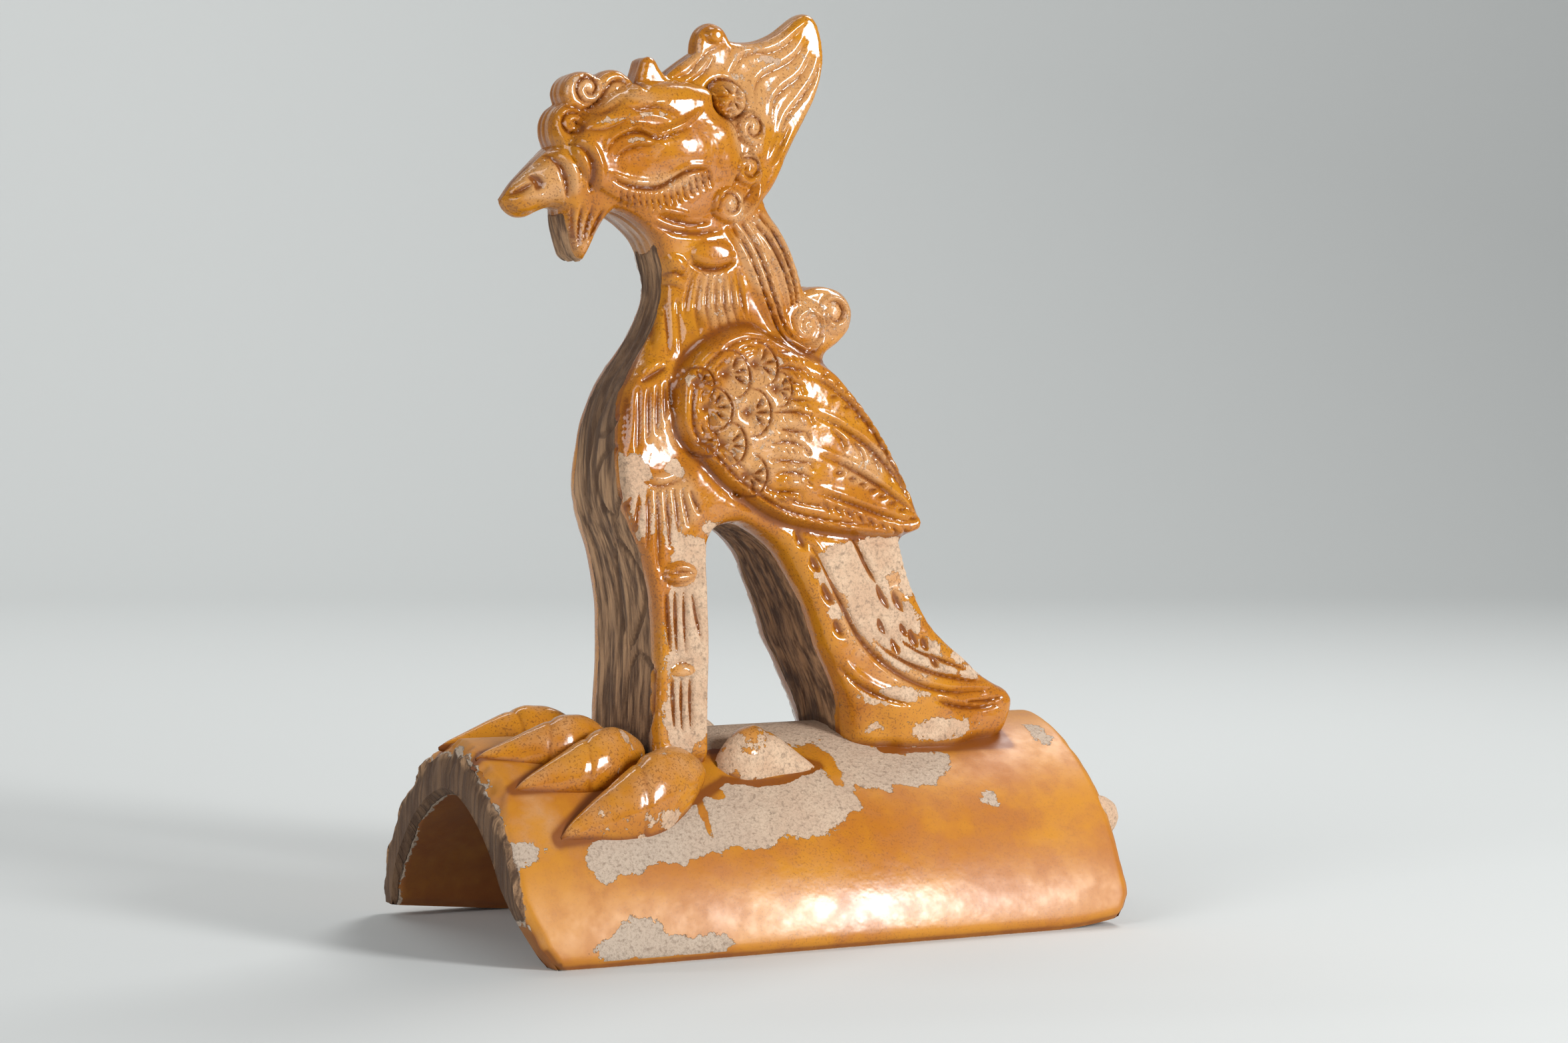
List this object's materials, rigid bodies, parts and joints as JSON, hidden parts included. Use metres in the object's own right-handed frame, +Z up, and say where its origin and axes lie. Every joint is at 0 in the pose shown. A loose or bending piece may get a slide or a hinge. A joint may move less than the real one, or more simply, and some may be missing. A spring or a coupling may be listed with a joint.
{
  "type": "roof ornament tile",
  "caption": "Half-barrel ridge tile with a standing phoenix, one piece of amber-glazed earthenware, chipped and worn.",
  "frame": {"origin": "middle of the bounding box on the plane that the tile's bottom edges rest on", "axes": "X along the tile, the bird looks towards -X and shows its left side to -Y, +Z up"},
  "size_m": [0.2537, 0.15, 0.34],
  "materials": {
    "glazed_clay": "amber lead glaze, glossy with fine specks, brown in the grooves and worn off to bare buff clay in patches"
  },
  "bodies": {
    "root": {"phoenix_ridge_tile": "glazed_clay"}
  },
  "joints": []
}
